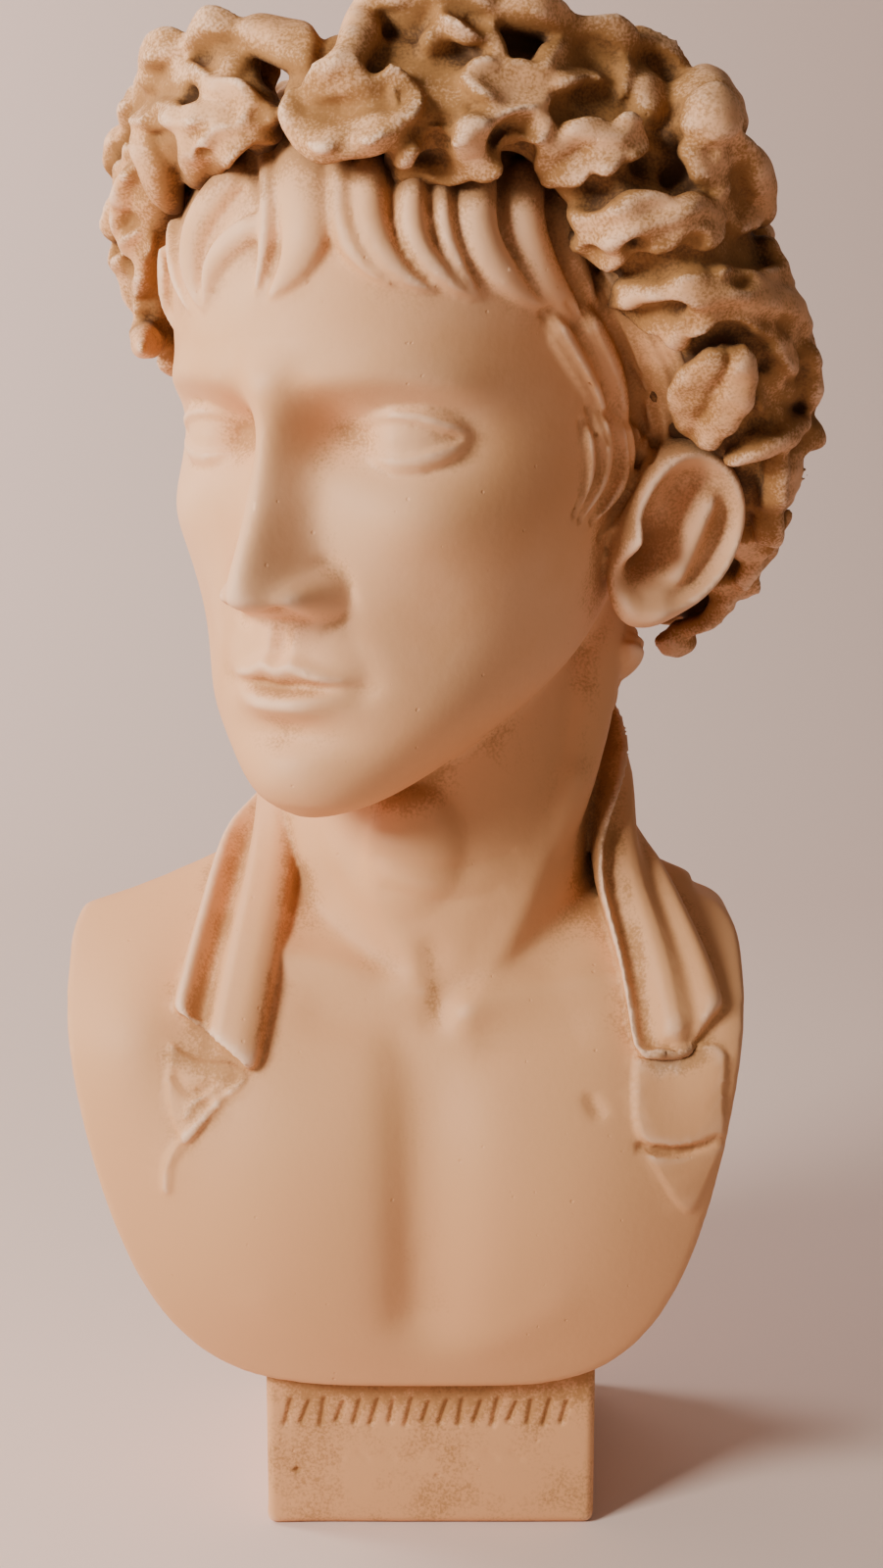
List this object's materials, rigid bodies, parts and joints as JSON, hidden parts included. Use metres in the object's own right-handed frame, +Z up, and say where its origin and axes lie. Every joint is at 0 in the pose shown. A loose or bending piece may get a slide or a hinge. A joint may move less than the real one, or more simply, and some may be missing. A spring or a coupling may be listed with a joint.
{
  "type": "roman emperor bust",
  "caption": "Plaster portrait bust of a wreathed Roman emperor with hanging ribbon ends, cast in one with its block plinth.",
  "frame": {"origin": "middle of the plinth's flat underside", "axes": "+Z up, -Y the front of the chest and plinth, +X to the viewer's right; the head looks to the viewer's left"},
  "size_m": [0.2638, 0.2294, 0.5123],
  "materials": {
    "plaster": "matt warm cream plaster with an ochre wash in the recesses and fine pores"
  },
  "bodies": {
    "root": {"bust": "plaster"}
  },
  "joints": []
}
